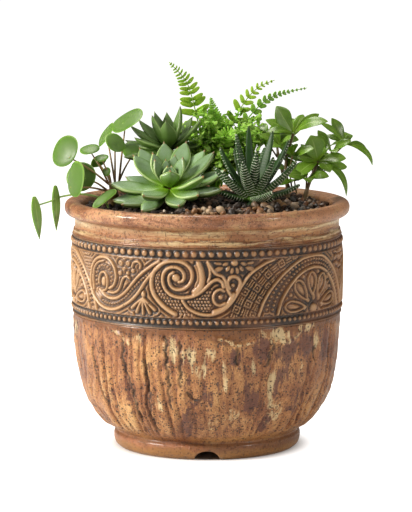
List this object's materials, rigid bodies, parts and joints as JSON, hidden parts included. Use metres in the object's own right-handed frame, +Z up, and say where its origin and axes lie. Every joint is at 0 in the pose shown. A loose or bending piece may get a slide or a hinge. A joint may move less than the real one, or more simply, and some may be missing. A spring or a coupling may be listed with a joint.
{
  "type": "planted bowl of succulents and fern",
  "caption": "Round stoneware planter with a carved relief band, planted with rosette succulents, haworthia, pilea, fern and a small shrub in potting soil.",
  "frame": {"origin": "on the ground under the middle of the pot's foot ring", "axes": "+Z up along the pot's axis, -Y to the front, where the drainage notch shows, +X to the right seen from the front"},
  "size_m": [0.2799, 0.24, 0.3239],
  "materials": {
    "stoneware": "satin",
    "soil": "matte",
    "gravel": "matte",
    "echeveria_leaf": "satin",
    "dark_rosette_leaf": "satin",
    "haworthia_leaf": "satin",
    "pilea_leaf": "satin",
    "pilea_stalk": "satin",
    "fern_leaf": "matte",
    "shrub_leaf": "satin",
    "shrub_bark": "matte",
    "vine_leaf": "satin"
  },
  "bodies": {
    "root": {"pot": "stoneware", "potting_soil": "soil", "gravel_dressing": "gravel", "echeveria_stem": "echeveria_leaf", "echeveria_heart": "echeveria_leaf", "echeveria_leaf_01": "echeveria_leaf", "echeveria_leaf_02": "echeveria_leaf", "echeveria_leaf_03": "echeveria_leaf", "echeveria_leaf_04": "echeveria_leaf", "echeveria_leaf_05": "echeveria_leaf", "echeveria_leaf_06": "echeveria_leaf", "echeveria_leaf_07": "echeveria_leaf", "echeveria_leaf_08": "echeveria_leaf", "echeveria_leaf_09": "echeveria_leaf", "echeveria_leaf_10": "echeveria_leaf", "echeveria_leaf_11": "echeveria_leaf", "echeveria_leaf_12": "echeveria_leaf", "echeveria_leaf_13": "echeveria_leaf", "echeveria_leaf_14": "echeveria_leaf", "echeveria_leaf_15": "echeveria_leaf", "echeveria_leaf_16": "echeveria_leaf", "echeveria_leaf_17": "echeveria_leaf", "echeveria_leaf_18": "echeveria_leaf", "echeveria_leaf_19": "echeveria_leaf", "echeveria_leaf_20": "echeveria_leaf", "rear_rosette": "dark_rosette_leaf", "haworthia_crown": "haworthia_leaf", "haworthia_leaf_01": "haworthia_leaf", "haworthia_leaf_02": "haworthia_leaf", "haworthia_leaf_03": "haworthia_leaf", "haworthia_leaf_04": "haworthia_leaf", "haworthia_leaf_05": "haworthia_leaf", "haworthia_leaf_06": "haworthia_leaf", "haworthia_leaf_07": "haworthia_leaf", "haworthia_leaf_08": "haworthia_leaf", "haworthia_leaf_09": "haworthia_leaf", "haworthia_leaf_10": "haworthia_leaf", "pilea_leaf_01": "pilea_leaf", "pilea_leaf_02": "pilea_leaf", "pilea_leaf_03": "pilea_leaf", "pilea_leaf_04": "pilea_leaf", "pilea_leaf_05": "pilea_leaf", "pilea_leaf_06": "pilea_leaf", "pilea_leaf_07": "pilea_leaf", "pilea_leaf_08": "pilea_leaf", "pilea_crown": "pilea_stalk", "fern_crown": "fern_leaf", "fern_frond_01": "fern_leaf", "fern_frond_02": "fern_leaf", "fern_frond_03": "fern_leaf", "fern_frond_04": "fern_leaf", "fern_frond_05": "fern_leaf", "fern_frond_06": "fern_leaf", "fern_frond_07": "fern_leaf", "shrub_leaves_top": "shrub_leaf", "shrub_leaves_right": "shrub_leaf", "shrub_leaves_middle": "shrub_leaf", "shrub_leaves_back": "shrub_leaf", "shrub_stems": "shrub_bark", "trailing_vine": "vine_leaf"}
  },
  "joints": []
}
